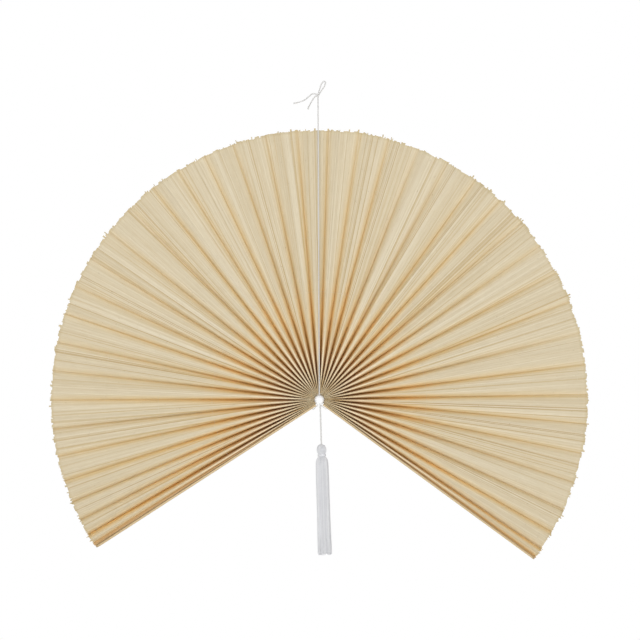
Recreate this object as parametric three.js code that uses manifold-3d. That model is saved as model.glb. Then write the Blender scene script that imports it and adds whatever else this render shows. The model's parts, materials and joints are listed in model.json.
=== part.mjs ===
// A bamboo wall fan: a mat of thin bamboo slats, folded into pleats that spread about a hub, with a
// stiff lath along each end. A cord laced through the inner ends gathers the pleats round a polished
// bead, a knotted cord hangs the fan on a nail, and a tassel hangs below the bead.
// Millimetres. X runs right along the wall, Y runs into the wall and Z runs up.
// The origin is the point inside the hanging loop that sits on the nail.
import * as THREE from "three";
import { mergeVertices } from "three/addons/utils/BufferGeometryUtils.js";
import Module from "manifold-3d";

const wasm = await Module();
wasm.setup();

const DEGREE = Math.PI / 180;

// Mat
const FAN_RADIUS = 500; // hub axis to the ends of the slats
const HUB_RADIUS = 11.5; // hub axis to the inner ends of the slats
const OPEN_FROM = -123 * DEGREE; // first valley fold at the rim, clockwise from upright
const OPEN_TO = 126.5 * DEGREE; // last valley fold at the rim
const HUB_FROM = -138.6 * DEGREE; // the folds wrap further round at the hub
const HUB_TO = 131.5 * DEGREE;
const PLEATS = 41; // an odd count, so that one ridge stands in the middle
const RIM_FOLD_DEPTH = 2.5; // ridge to valley at the rim of the widest pleat
const RIM_RISE = 2.5; // the slats are trimmed to a circle with its middle this far above the hub
const MAT_THICKNESS = 0.8;
const RIM_RAGGEDNESS = 4; // between the shortest and the longest slat ends
const PLEAT_GAP = 0.3; // between neighbouring pleats
const END_TIGHTENING = 0.65; // share of its width that a pleat beside a guard gives up
const LEFT_END_REACH = 3.25; // pleats over which that dies away
const RIGHT_END_REACH = 1.75;
const PITCH_WANDER = 0.04; // share by which hand folding varies the pleats
const WANDER_STEP = 1; // radians of that wander from one pleat to the next
const WANDER_START = 2.1;
const FOLD_ROUNDING = 0.5; // from 0, sharp folds, to 1, a smooth wave
const CLOSED_FOLD = 0.9; // most of its depth that a fold may fill near the hub

// Guards
const GUARD_THICKNESS = 3.6;
const GUARD_PROUD = 0.5; // past the mat, front and back
const GUARD_SHORTFALL = 2.5; // the laths stop this far short of the rim
const GUARD_TIP_RADIUS = 9; // of the corners at the rim
const LEFT_GUARD_TWIST = 8 * DEGREE; // the left lath twists open at the rim and shows its inner face
const RIGHT_GUARD_TWIST = 0;

// Hub
const CLEARANCE = 0.3; // between pieces that touch
const BEAD_DIAMETER = 18.6;
const LACING_RADIUS = 20; // hub axis to the middle of the lacing
const LACING_DIAMETER = 1.2;
const LACING_SPACING = 3.2; // between its two ends at the bead
const LACING_STAND = 3; // how far it stands out past a guard before it turns in
const LACING_DROP = 10.4; // hub axis to where its ends pass under the bead

// Hanging cord
const CORD_DIAMETER = 2.2;
const KNOT_RISE = 65; // rim to the middle of the knot
const KNOT_OFFSET = -2.4; // the knot lies a little left of the hub
const KNOT_WIDTH = 6;
const KNOT_HEIGHT = 6.4;
const LOOP_CORD_DIAMETER = 1.8;
const LOOP_LENGTH = 26;
const LOOP_WIDTH = 8.4;
const LOOP_LEAN = 26 * DEGREE; // to the right of upright
const LONG_TAIL_RISE = 1.6; // where each tail leaves the knot, above its middle
const SHORT_TAIL_RISE = -1.4;

// Tassel
const STOPPER_DIAMETER = 4.6; // the knot under the bead
const TASSEL_OFFSET = 1.7; // the stopper sits a little right of the bead's bore
const TASSEL_LEAN = 1.8 * DEGREE; // to the right of plumb
const TASSEL_CORD_LENGTH = 71; // stopper to the head
const TASSEL_HEAD_HEIGHT = 22;
const TASSEL_HEAD_DIAMETER = 17.7;
const TASSEL_NECK_DIAMETER = 13;
const NECK_BINDING_HEIGHT = 4.5;
const NECK_BINDING_THICKNESS = 1.5;
const NECK_TURNS = 4;
const SKIRT_LENGTH = 183;
const SKIRT_SHOULDER_DIAMETER = 22;
const SKIRT_DIAMETER = 24.4;
const SKIRT_HEM_DIAMETER = 26.4;
const SKIRT_FLUTES = 15;
const FLUTE_DEPTH = 0.9;
const HEM_RAGGEDNESS = 4;

// Facets
const PANEL_FACETS = 3; // across each panel of a pleat
const PLEAT_STATIONS = 5; // along each pleat
const STATION_GRADING = 1.8; // above 1, the stations crowd towards the hub, where the panels twist most
const GUARD_STATIONS = 6; // along a twisted guard
const TIP_STEPS = 4; // round each corner of a guard
const CORD_SIDES = 8;

const bamboo = () => new THREE.MeshStandardMaterial({ color: 0xdfcda2, roughness: 0.6 });
const lath = () => new THREE.MeshStandardMaterial({ color: 0xc79f62, roughness: 0.55 });
const cotton = () => new THREE.MeshStandardMaterial({ color: 0xd8d8da, roughness: 0.9 });
const nickel = () => new THREE.MeshStandardMaterial({ color: 0xdfe2e5, roughness: 0.12, metalness: 1 });

// Solids from meshes, for joining and cutting
function solid(geometry) {
  const bare = geometry.clone();
  bare.deleteAttribute("normal");
  bare.deleteAttribute("uv");
  const merged = mergeVertices(bare);
  const vertProperties = Float32Array.from(merged.attributes.position.array);
  const triVerts = Uint32Array.from(merged.index.array);
  return new wasm.Manifold(new wasm.Mesh({ numProp: 3, vertProperties, triVerts }));
}

function meshGeometry(body) {
  const { vertProperties, triVerts } = body.getMesh();
  const geometry = new THREE.BufferGeometry();
  geometry.setAttribute("position", new THREE.BufferAttribute(vertProperties, 3));
  geometry.setIndex(new THREE.BufferAttribute(triVerts, 1));
  geometry.computeVertexNormals();
  return geometry;
}

function tube(points, diameter, steps) {
  const path = new THREE.CatmullRomCurve3(points);
  const section = new THREE.Shape().absarc(0, 0, diameter / 2, 0, 2 * Math.PI);
  const options = { extrudePath: path, steps, curveSegments: CORD_SIDES / 2, bevelEnabled: false };
  return new THREE.ExtrudeGeometry(section, options);
}

// A turned piece about Z, from points of radius and height
function turned(profile, segments) {
  const points = profile.map(([radius, height]) => new THREE.Vector2(radius, height));
  return new THREE.LatheGeometry(points, segments).rotateX(Math.PI / 2);
}

function named(name, geometry, material) {
  const mesh = new THREE.Mesh(geometry, material);
  mesh.name = name;
  return mesh;
}

// A steady value from 0 to 1 for each whole number, for hand-made variation
function variation(number) {
  const wave = Math.sin(number * 12.9898) * 43758.5453;
  return wave - Math.floor(wave);
}

// The front of the fan as a dial: an angle clockwise from upright gives x and z
function onDial(radius, angle) {
  return new THREE.Vector2(radius * Math.sin(angle), radius * Math.cos(angle));
}

// Fold lines of the mat
function openness(pleat) {
  const fromGuards = Math.min(pleat / LEFT_END_REACH, (PLEATS - 1 - pleat) / RIGHT_END_REACH);
  return 1 - END_TIGHTENING * Math.exp(-fromGuards);
}

function pitchShare(pleat) {
  return openness(pleat) * (1 + PITCH_WANDER * Math.sin(WANDER_STEP * pleat + WANDER_START));
}

// The valley folds are evenly packed at the hub, and spread unevenly at the rim
function valleyLines() {
  const shares = [0];
  for (let pleat = 0; pleat < PLEATS; pleat++) shares.push(shares[pleat] + pitchShare(pleat));
  const rimMiddle = new THREE.Vector2(0, RIM_RISE);
  return shares.map((share, line) => ({
    hub: onDial(HUB_RADIUS, THREE.MathUtils.lerp(HUB_FROM, HUB_TO, line / PLEATS)),
    rim: onDial(FAN_RADIUS, THREE.MathUtils.lerp(OPEN_FROM, OPEN_TO, share / shares[PLEATS])).add(rimMiddle),
  }));
}

const valleys = valleyLines();

function alongValley(line) {
  const { hub, rim } = valleys[line];
  return rim.clone().sub(hub).normalize();
}

// A point on a valley fold, from 0 at the hub to 1 at the rim, moved clockwise by an inset
function valleyPoint(line, station, inset) {
  const along = alongValley(line);
  const clockwise = new THREE.Vector2(along.y, -along.x);
  const { hub, rim } = valleys[line];
  return hub.clone().lerp(rim, station).addScaledVector(clockwise, inset);
}

function halfPitch(pleat, station) {
  return valleyPoint(pleat, station, 0).distanceTo(valleyPoint(pleat + 1, station, 0)) / 2;
}

// A panel keeps its width, so a pleat is deep at the hub and nearly flat at the rim, but stays deep where
// it is held tight beside a guard
const panelWidths = [...Array(PLEATS).keys()].map((pleat) => {
  return Math.hypot(halfPitch(pleat, 1) / openness(pleat), RIM_FOLD_DEPTH);
});
const MAT_DEPTH = Math.max(...panelWidths);

function foldDepth(pleat, station) {
  return Math.sqrt(panelWidths[pleat] ** 2 - halfPitch(pleat, station) ** 2);
}

function valleyDepth(line, station) {
  const before = foldDepth(Math.max(line - 1, 0), station);
  const after = foldDepth(Math.min(line, PLEATS - 1), station);
  return (before + after) / 4;
}

function foldCurve(share) {
  const wave = (1 - Math.cos(Math.PI * share)) / 2;
  return (1 - FOLD_ROUNDING) * share + FOLD_ROUNDING * wave;
}

// A section across one pleat: its front from the left valley over the ridge to the right valley, then
// its back the other way
function pleatSection(pleat, station) {
  const inset = PLEAT_GAP / 2;
  const feet = [valleyPoint(pleat, station, inset), valleyPoint(pleat + 1, station, -inset)];
  const feetY = [valleyDepth(pleat, station), valleyDepth(pleat + 1, station)];
  const ridge = feet[0].clone().lerp(feet[1], 0.5);
  const ridgeY = -foldDepth(pleat, station) / 2;
  const halfWidth = ridge.distanceTo(feet[0]);
  const front = [];
  const back = [];
  for (let facet = -PANEL_FACETS; facet <= PANEL_FACETS; facet++) {
    const side = facet < 0 ? 0 : 1;
    const share = Math.abs(facet) / PANEL_FACETS;
    const depth = feetY[side] - ridgeY;
    const slant = Math.hypot(halfWidth, depth);
    const innerRidgeY = ridgeY + Math.min((MAT_THICKNESS * slant) / halfWidth, CLOSED_FOLD * depth);
    const footShare = Math.min((MAT_THICKNESS * slant) / (depth * halfWidth), CLOSED_FOLD);
    const outer = ridge.clone().lerp(feet[side], share);
    const inner = ridge.clone().lerp(feet[side], share * (1 - footShare));
    const innerY = THREE.MathUtils.lerp(innerRidgeY, feetY[side], foldCurve(share));
    front.push(new THREE.Vector3(outer.x, ridgeY + depth * foldCurve(share), outer.y));
    back.unshift(new THREE.Vector3(inner.x, innerY, inner.y));
  }
  return [...front, ...back];
}

// The slats end unevenly, so each column of the last section is pulled in or out
function raggedSection(pleat, section) {
  const along = alongValley(pleat).lerp(alongValley(pleat + 1), 0.5);
  const columns = section.length / 2;
  return section.map((point, index) => {
    const column = index < columns ? index : section.length - 1 - index;
    const reach = (variation(pleat * columns + column) - 0.5) * RIM_RAGGEDNESS;
    return point.clone().add(new THREE.Vector3(along.x * reach, 0, along.y * reach));
  });
}

// A closed skin over the sections of a pleat, each end closed by strips from its front to its back. The
// panels twist, so each quad is split on the same diagonal front and back, and mirrored about the ridge.
function skin(sections) {
  const count = sections[0].length;
  const columns = count / 2;
  const last = (sections.length - 1) * count;
  const triangles = [];
  const quad = (a, b, c, d, rising) => {
    if (rising) triangles.push(a, c, b, a, d, c);
    else triangles.push(a, d, b, d, c, b);
  };
  for (let ring = 0; ring < last; ring += count) {
    for (let i = 0; i < count; i++) {
      const next = (i + 1) % count;
      const front = i < columns;
      const right = (front ? i : count - 2 - i) >= PANEL_FACETS;
      quad(ring + i, ring + count + i, ring + count + next, ring + next, front === right);
    }
  }
  for (let i = 0; i < columns - 1; i++) {
    const facing = count - 1 - i;
    quad(i, i + 1, facing - 1, facing, true);
    quad(last + i, last + facing, last + facing - 1, last + i + 1, true);
  }
  const geometry = new THREE.BufferGeometry().setFromPoints(sections.flat());
  geometry.setIndex(triangles);
  return geometry;
}

// A straight hole for the lacing, which passes a point of the dial square to its radius
function lacingHole(point, length) {
  const radius = LACING_DIAMETER / 2 + 2 * CLEARANCE;
  const angle = Math.atan2(point.x, point.y);
  const at = onDial(LACING_RADIUS, angle);
  const hole = new THREE.CylinderGeometry(radius, radius, length, CORD_SIDES).rotateZ(Math.PI / 2);
  return solid(hole.rotateY(angle).translate(at.x, 0, at.y));
}

const LACING_STATION = (LACING_RADIUS - HUB_RADIUS) / (FAN_RADIUS - HUB_RADIUS);

function pleatGeometry(pleat) {
  const sections = [];
  for (let i = 0; i < PLEAT_STATIONS; i++) {
    sections.push(pleatSection(pleat, (i / PLEAT_STATIONS) ** STATION_GRADING));
  }
  sections.push(raggedSection(pleat, pleatSection(pleat, 1)));
  const edges = [valleyPoint(pleat, LACING_STATION, 0), valleyPoint(pleat + 1, LACING_STATION, 0)];
  const hole = lacingHole(edges[0].clone().lerp(edges[1], 0.5), 2 * edges[0].distanceTo(edges[1]));
  return meshGeometry(solid(skin(sections)).subtract(hole));
}

// A guard lath lies against an end valley by its back inner edge, and may twist open towards the rim.
// Its side is -1 left or 1 right.
const GUARD_WIDTH = MAT_DEPTH + 2 * GUARD_PROUD;
const GUARD_LENGTH = FAN_RADIUS - HUB_RADIUS - GUARD_SHORTFALL;

function endValley(side) {
  return side < 0 ? 0 : PLEATS;
}

// A section across a guard at a reach from its inner end, with its front and back edges drawn in
function guardSection(side, twist, reach, drawnIn) {
  const line = endValley(side);
  const { hub, rim } = valleys[line];
  const station = reach / hub.distanceTo(rim);
  const roll = (twist * reach) / GUARD_LENGTH;
  const corner = (outward, forward) => {
    const opened = outward * Math.cos(roll) + forward * Math.sin(roll);
    const raised = forward * Math.cos(roll) + (GUARD_THICKNESS - outward) * Math.sin(roll);
    const at = valleyPoint(line, station, side * (PLEAT_GAP / 2 + opened));
    return new THREE.Vector3(at.x, GUARD_WIDTH / 2 - raised, at.y);
  };
  const faces = side < 0 ? [GUARD_THICKNESS, 0] : [0, GUARD_THICKNESS];
  const front = faces.map((face) => corner(face, GUARD_WIDTH - drawnIn));
  const back = faces.map((face) => corner(face, drawnIn)).reverse();
  return [...front, ...back];
}

function guardGeometry(side, twist) {
  const straight = GUARD_LENGTH - GUARD_TIP_RADIUS;
  const stations = twist ? GUARD_STATIONS : 1;
  const sections = [];
  for (let i = 0; i <= stations; i++) sections.push(guardSection(side, twist, (straight * i) / stations, 0));
  for (let i = 1; i <= TIP_STEPS; i++) {
    const turn = (Math.PI / 2) * (i / TIP_STEPS);
    const reach = straight + GUARD_TIP_RADIUS * Math.sin(turn);
    sections.push(guardSection(side, twist, reach, GUARD_TIP_RADIUS * (1 - Math.cos(turn))));
  }
  const middle = side * (PLEAT_GAP + GUARD_THICKNESS) / 2;
  const hole = lacingHole(valleyPoint(endValley(side), LACING_STATION, middle), 3 * GUARD_THICKNESS);
  return meshGeometry(solid(skin(sections)).subtract(hole));
}

function mat() {
  const group = new THREE.Group();
  for (let pleat = 0; pleat < PLEATS; pleat++) {
    const name = `pleat_${String(pleat + 1).padStart(2, "0")}`;
    group.add(named(name, pleatGeometry(pleat), bamboo()));
  }
  group.add(named("guard_left", guardGeometry(-1, LEFT_GUARD_TWIST), lath()));
  group.add(named("guard_right", guardGeometry(1, RIGHT_GUARD_TWIST), lath()));
  return group;
}

// The bead and both cords hang in front of the middle ridge
const HANG_Y = -(MAT_DEPTH / 2 + CORD_DIAMETER / 2 + CLEARANCE);
const BEAD_BORE = CORD_DIAMETER + 2 * CLEARANCE;

function beadGeometry() {
  const radius = BEAD_DIAMETER / 2;
  const rim = Math.acos(BEAD_BORE / BEAD_DIAMETER);
  const steps = 12;
  const profile = [];
  for (let i = 0; i <= steps; i++) {
    const angle = rim * ((2 * i) / steps - 1);
    profile.push([radius * Math.cos(angle), radius * Math.sin(angle)]);
  }
  return turned([...profile, profile[0]], 24);
}

// The angle at which the lacing has come out through a guard
function lacingLeaves(side) {
  const point = valleyPoint(endValley(side), LACING_STATION, side * (GUARD_THICKNESS + LACING_STAND));
  return Math.atan2(point.x, point.y);
}

// The lacing runs round the hub through every pleat and guard, and both its ends turn in to the bead
function lacingGeometry() {
  const arcSteps = 40;
  const points = [];
  for (let i = 0; i <= arcSteps; i++) {
    const at = onDial(LACING_RADIUS, THREE.MathUtils.lerp(lacingLeaves(-1), lacingLeaves(1), i / arcSteps));
    points.push(new THREE.Vector3(at.x, 0, at.y));
  }
  const reach = BEAD_DIAMETER / 2 + LACING_DIAMETER / 2 + CLEARANCE;
  const end = new THREE.Vector3(LACING_SPACING / 2, HANG_Y + reach, 0);
  const turn = new THREE.Vector3(LACING_SPACING / 2 + LACING_DIAMETER, 0, -LACING_DROP);
  const mirrored = (point) => new THREE.Vector3(-point.x, point.y, point.z);
  return tube([mirrored(end), mirrored(turn), ...points, turn, end], LACING_DIAMETER, 56);
}

function hub() {
  const group = new THREE.Group();
  const bead = named("hub_bead", beadGeometry(), nickel());
  bead.position.y = HANG_Y;
  group.add(bead, named("lacing_cord", lacingGeometry(), cotton()));
  return group;
}

// The hanging cord, its knot, loop and tails
const knotCentre = new THREE.Vector3(KNOT_OFFSET, HANG_Y, FAN_RADIUS + KNOT_RISE);

function hangingCordGeometry() {
  const inBead = new THREE.Vector3(0, HANG_Y, -BEAD_DIAMETER / 2 + CLEARANCE);
  const overBead = new THREE.Vector3(0, HANG_Y, BEAD_DIAMETER / 2);
  const atKnot = knotCentre.clone();
  atKnot.z -= KNOT_HEIGHT / 2 + CLEARANCE;
  return tube([inBead, overBead, overBead.clone().lerp(atKnot, 0.5), atKnot], CORD_DIAMETER, 30);
}

function knotGeometry() {
  const steps = 10;
  const profile = [];
  for (let i = 0; i <= steps; i++) {
    const angle = Math.PI * (i / steps - 0.5);
    profile.push([(KNOT_WIDTH / 2) * Math.cos(angle), (KNOT_HEIGHT / 2) * Math.sin(angle)]);
  }
  profile[0][0] = 0;
  profile[steps][0] = 0;
  return turned(profile, 12);
}

// The loop stands on the knot as a narrow drop, with its legs a cord apart at the knot
function loopGeometry() {
  const leg = LOOP_CORD_DIAMETER / 2 + CLEARANCE;
  const wide = (LOOP_WIDTH - LOOP_CORD_DIAMETER) / 2;
  const foot = KNOT_HEIGHT / 2 + CLEARANCE;
  const crown = foot + LOOP_LENGTH - LOOP_CORD_DIAMETER / 2;
  const half = [[leg, 0], [leg, 0.12], [0.75 * wide, 0.4], [wide, 0.72], [0.7 * wide, 0.94]];
  const right = half.map(([x, rise]) => new THREE.Vector3(x, 0, foot + rise * (crown - foot)));
  const left = right.map((point) => new THREE.Vector3(-point.x, 0, point.z)).reverse();
  return tube([...right, new THREE.Vector3(0, 0, crown), ...left], LOOP_CORD_DIAMETER, 26);
}

// A tail leaves the side of the knot, then follows points chosen by hand
function tailGeometry(startRise, route) {
  const start = new THREE.Vector3(-(KNOT_WIDTH / 2 + CLEARANCE), 0, startRise);
  const points = route.map(([x, y, z]) => new THREE.Vector3(x, y, z));
  return tube([start, ...points], LOOP_CORD_DIAMETER, 14);
}

const LONG_TAIL = [
  [-6.5, -0.5, 2.8], [-11, -1.2, 2.2], [-17, -1.8, -2.6], [-25, -2, -9], [-36, -2, -13.2], [-45, -2, -15.2],
];
const SHORT_TAIL = [
  [-5.6, -0.3, -2.6], [-9, -0.8, -7], [-12.5, -1.2, -13], [-16.5, -1.4, -20], [-18.6, -1.4, -26],
];

function hanger() {
  const group = new THREE.Group();
  group.add(named("hanging_cord", hangingCordGeometry(), cotton()));
  const knot = new THREE.Group();
  knot.position.copy(knotCentre);
  const loop = named("hanging_loop", loopGeometry(), cotton());
  loop.rotation.y = LOOP_LEAN;
  knot.add(named("cord_knot", knotGeometry(), cotton()), loop);
  knot.add(named("cord_tail_long", tailGeometry(LONG_TAIL_RISE, LONG_TAIL), cotton()));
  knot.add(named("cord_tail_short", tailGeometry(SHORT_TAIL_RISE, SHORT_TAIL), cotton()));
  group.add(knot);
  return group;
}

// The tassel, drawn hanging straight down from the middle of its stopper knot
const HEAD_TOP = -TASSEL_CORD_LENGTH;
const HEAD_FOOT = HEAD_TOP - TASSEL_HEAD_HEIGHT;
const SKIRT_TOP = HEAD_FOOT - CLEARANCE;

function tasselCordGeometry() {
  const stopper = new THREE.SphereGeometry(STOPPER_DIAMETER / 2, 12, 8);
  const end = new THREE.Vector3(0, 0, HEAD_TOP + CLEARANCE);
  const cord = tube([new THREE.Vector3(), end.clone().multiplyScalar(0.5), end], CORD_DIAMETER, 14);
  return meshGeometry(solid(stopper).add(solid(cord)));
}

function tasselHeadGeometry() {
  const radius = TASSEL_HEAD_DIAMETER / 2;
  const neck = TASSEL_NECK_DIAMETER / 2;
  const down = (share) => HEAD_TOP - share * TASSEL_HEAD_HEIGHT;
  const profile = [[0, down(1)], [neck, down(1)], [neck, down(0.82)], [0.93 * radius, down(0.66)]];
  profile.push([radius, down(0.46)], [0.95 * radius, down(0.28)], [0.74 * radius, down(0.11)]);
  profile.push([0.4 * radius, down(0.02)], [0, down(0)]);
  return turned(profile, 20);
}

// The binding is one band of rounded turns about the neck
function neckGeometry() {
  const inner = TASSEL_NECK_DIAMETER / 2 + CLEARANCE;
  const turn = NECK_BINDING_HEIGHT / NECK_TURNS;
  const profile = [[inner, HEAD_FOOT]];
  for (let i = 0; i < NECK_TURNS; i++) {
    const foot = HEAD_FOOT + i * turn;
    profile.push([inner + 0.6 * NECK_BINDING_THICKNESS, foot]);
    profile.push([inner + NECK_BINDING_THICKNESS, foot + turn / 2]);
  }
  const top = HEAD_FOOT + NECK_BINDING_HEIGHT - CLEARANCE;
  profile.push([inner + 0.6 * NECK_BINDING_THICKNESS, top], [inner, top], [inner, HEAD_FOOT]);
  return turned(profile, 20);
}

// The skirt is a bundle of strands, fluted, a little fuller at the hem, with an uneven end
function skirtGeometry() {
  const hem = SKIRT_TOP - SKIRT_LENGTH;
  const profile = [[0, hem], [SKIRT_HEM_DIAMETER / 2, hem]];
  profile.push([SKIRT_HEM_DIAMETER / 2, hem + 0.14 * SKIRT_LENGTH]);
  profile.push([SKIRT_DIAMETER / 2, hem + 0.4 * SKIRT_LENGTH]);
  profile.push([SKIRT_DIAMETER / 2, SKIRT_TOP - 0.05 * SKIRT_LENGTH]);
  profile.push([SKIRT_SHOULDER_DIAMETER / 2, SKIRT_TOP - 0.012 * SKIRT_LENGTH]);
  profile.push([TASSEL_NECK_DIAMETER / 2, SKIRT_TOP], [0, SKIRT_TOP]);
  const geometry = turned(profile, 2 * SKIRT_FLUTES);
  const position = geometry.attributes.position;
  for (let i = 0; i < position.count; i++) {
    const radius = Math.hypot(position.getX(i), position.getY(i));
    if (radius < TASSEL_NECK_DIAMETER / 2 + CLEARANCE) continue;
    const angle = Math.atan2(position.getY(i), position.getX(i));
    const share = 1 - (FLUTE_DEPTH / radius) * (0.5 - 0.5 * Math.cos(SKIRT_FLUTES * angle));
    const atHem = position.getZ(i) < hem + 1 ? 1 : 0;
    const lift = atHem * HEM_RAGGEDNESS * (0.5 + 0.5 * Math.sin(4 * angle + 1));
    position.setXYZ(i, position.getX(i) * share, position.getY(i) * share, position.getZ(i) + lift);
  }
  return geometry;
}

function tassel() {
  const group = new THREE.Group();
  group.position.set(TASSEL_OFFSET, HANG_Y, -(BEAD_DIAMETER / 2 + CLEARANCE + STOPPER_DIAMETER / 2));
  group.rotation.y = -TASSEL_LEAN;
  group.add(named("tassel_cord", tasselCordGeometry(), cotton()));
  group.add(named("tassel_head", tasselHeadGeometry(), cotton()));
  group.add(named("tassel_neck", neckGeometry(), cotton()));
  group.add(named("tassel_skirt", skirtGeometry(), cotton()));
  return group;
}

// Everything above is drawn about the hub; the nail's seat in the loop becomes the origin
const seatRise = KNOT_HEIGHT / 2 + CLEARANCE + LOOP_LENGTH - LOOP_CORD_DIAMETER;
const nailSeat = new THREE.Vector3(0, 0, seatRise).applyAxisAngle(new THREE.Vector3(0, 1, 0), LOOP_LEAN);

const fan = new THREE.Group();
fan.position.copy(knotCentre).add(nailSeat).negate();
fan.add(mat(), hub(), hanger(), tassel());

export default fan;
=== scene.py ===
"""A bamboo wall fan, dressed: slats, threads, laths, a polished bead, cotton cords and a tassel."""
import json
import math
import random

import bmesh
import bpy
import numpy as np
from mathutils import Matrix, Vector


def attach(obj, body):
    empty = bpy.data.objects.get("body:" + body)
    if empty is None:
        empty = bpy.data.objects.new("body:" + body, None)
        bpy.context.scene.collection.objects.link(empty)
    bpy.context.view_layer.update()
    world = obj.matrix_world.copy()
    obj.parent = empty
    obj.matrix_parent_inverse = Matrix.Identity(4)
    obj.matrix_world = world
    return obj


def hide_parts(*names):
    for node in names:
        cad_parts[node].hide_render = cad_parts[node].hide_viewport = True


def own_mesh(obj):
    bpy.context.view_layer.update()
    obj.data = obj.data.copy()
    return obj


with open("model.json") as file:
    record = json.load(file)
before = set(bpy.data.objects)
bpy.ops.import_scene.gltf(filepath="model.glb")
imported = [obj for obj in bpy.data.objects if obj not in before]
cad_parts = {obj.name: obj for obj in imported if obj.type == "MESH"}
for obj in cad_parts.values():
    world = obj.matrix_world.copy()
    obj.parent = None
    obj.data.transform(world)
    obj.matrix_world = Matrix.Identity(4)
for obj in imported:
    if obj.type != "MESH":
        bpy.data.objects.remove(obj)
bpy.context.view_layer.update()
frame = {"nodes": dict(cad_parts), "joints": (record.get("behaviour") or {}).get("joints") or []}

MM = 0.001  # lengths are in metres
JOINTS = {joint["name"]: joint for joint in frame["joints"]}
HUB = np.array(JOINTS["fan_fold"]["pos_m"])
TASSEL_TOP = np.array(JOINTS["tassel_swing"]["pos_m"])

# Mat, folded as in the part's source
FAN_RADIUS = 500 * MM
HUB_RADIUS = 11.5 * MM
OPEN_FROM, OPEN_TO = math.radians(-123), math.radians(126.5)
HUB_FROM, HUB_TO = math.radians(-138.6), math.radians(131.5)
PLEATS = 41
MIDDLE = PLEATS // 2
RIM_FOLD_DEPTH = 2.5 * MM
RIM_RISE = 2.5 * MM
PLEAT_GAP = 0.3 * MM
END_TIGHTENING = 0.65
LEFT_END_REACH = 3.25
RIGHT_END_REACH = 1.75
PITCH_WANDER = 0.04
WANDER_STEP = 1.0
WANDER_START = 2.1

# Slats
SLATS = 15  # on each panel
SLAT_THICKNESS = 0.75 * MM
SLAT_LAP = 0.03  # share of its width by which a slat's foot runs under the next
SLAT_UNEVEN = 0.55  # share by which split slats differ in width
RIDGE_LEAN = -0.10  # ridges lean anticlockwise by this share of half a pleat
LEAN_WANDER = 0.16  # and by as much more or less from pleat to pleat
RIDGE_SINK = 0.25  # share of its height by which a ridge may stand lower than its fold is deep
VALLEY_SHADE_STRENGTHS = (0.6, 1.1)  # strength of the painted shade in the folds, drawn between these for each valley
ARCH_RADII = (12 * MM, 24 * MM, 52 * MM, 120 * MM, 250 * MM)
ARCH_POWERS = (14, 8, 4.2, 3.8, 4.2)  # of the arch across a pleat: round on top, steep into the valley
ARCH_STEPS = 41  # places measured across each panel
SLACK_RADII = (12 * MM, 60 * MM, 280 * MM)
FOLD_SLACK = (0, 0.22, 0.5)  # share of their depth that the folds lose where the panels bow
VALLEY_RAISE = 0.8 * MM  # valley to the back of the mat, room for the slat behind the fold
VALLEY_SLAT_REACH = 1.5 * MM  # to either side of the valley
VALLEY_SLAT_THICKNESS = 0.4 * MM
INNER_RADIUS = 4 * MM  # where the slats end behind the bead
BEAD_ROOM = 0.4 * MM  # and what they keep from it
RIM_RAGGED = 2.1 * MM  # by which tufts of slats end short or long
SLAT_RAGGED = 0.4 * MM  # and each slat in its tuft
HUB_RAGGED = 0.5 * MM
NEW_TUFT = 0.4  # chance that a slat starts a tuft of another length
LONG_SLAT = 4.5 * MM  # how far a single slat stands out at most
LONG_SLAT_SHARE = 0.08
DARK_SLATS, PALE_SLATS = 0.10, 0.14  # shares of the slats
SLAT_PROUD = (-0.12 * MM, 0.10 * MM)  # how a slat lies to the panel
SLAT_BOW = 0.10 * MM
BOW_WAVES = (12, 30)  # radians to a metre
FULL_PLAY = 2.4 * MM  # half a pleat's width from which its slats have all that play
NARROW_SLAT = 0.7  # thickness at most, as a share of half a narrow pleat
SLAT_SECTION = ((-1, -0.35), (-0.62, 0), (0.62, 0), (1, -0.35), (1, -1), (-1, -1))
BAR_SECTION = ((0, 0), (1, 0), (1, 1), (0, 1))
STATIONS = np.array([0, 0.016, 0.04, 0.08, 0.14, 0.22, 0.32, 0.44, 0.58, 0.72, 0.86, 0.95, 1])

# Hems, flat slats that fill the mat's ends beside the guards
HEMS = {(0, 0): 0.25, (PLEATS - 1, 1): 0.45}  # pleat and side: share of the fold's depth at which it lies
HEM_SHADE_LINE = 0.09  # share of half a pleat on which a painted shade line marks where the mat meets it
HEM_THICKNESS = 0.6 * MM
HEM_ROOM = 0.1 * MM

# Threads woven over and under the slats
THREAD_RADIUS = 0.17 * MM
THREAD_RISE = 0.8 * THREAD_RADIUS  # of its middle over a slat's face
THREAD_SPACING = 2.2 * THREAD_RADIUS  # between the two threads of a row
THREAD_RADII = (483 * MM, 400 * MM, 300 * MM, 200 * MM)  # hub to each row

# Hub, cords, guards and tassel; what the solids share is as in the part's source
CLEARANCE = 0.3 * MM
BEAD_DIAMETER = 18.6 * MM
CORD_DIAMETER = 2.2 * MM
LOOP_CORD_DIAMETER = 1.8 * MM
CORD_FLUFF = 1.05  # spun cotton stands this much wider than its cord is firm
LOOP_FLUFF = 1.3
TASSEL_CORD_FLUFF = 1.3
CORD_STRANDS = 4
CORD_TURN = 3.8  # length of one turn of the strands; this and the next three in diameters of the cord
STRAND_RADIUS = 0.26
CORE_RADIUS = 0.45
FRAY_LENGTH = 4
KNOT_RISE = 65 * MM
KNOT_OFFSET = -2.4 * MM
KNOT_WIDTH = 6 * MM
KNOT_HEIGHT = 6.4 * MM
LOOP_LENGTH = 26 * MM
LOOP_WIDTH = 8.4 * MM
LOOP_LEAN = math.radians(26)
LACING_RADIUS = 20 * MM
LACING_DIAMETER = 1.2 * MM
LACING_SPACING = 3.2 * MM
LACING_STAND = 3 * MM
LACING_DROP = 10.4 * MM
LACING_KNOT = 4.4 * MM
GUARD_THICKNESS = 3.6 * MM
GUARD_PROUD = 0.5 * MM
GUARD_EASE = 0.8 * MM  # of its edges
LEFT_GUARD_TWIST = math.radians(8)
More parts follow.
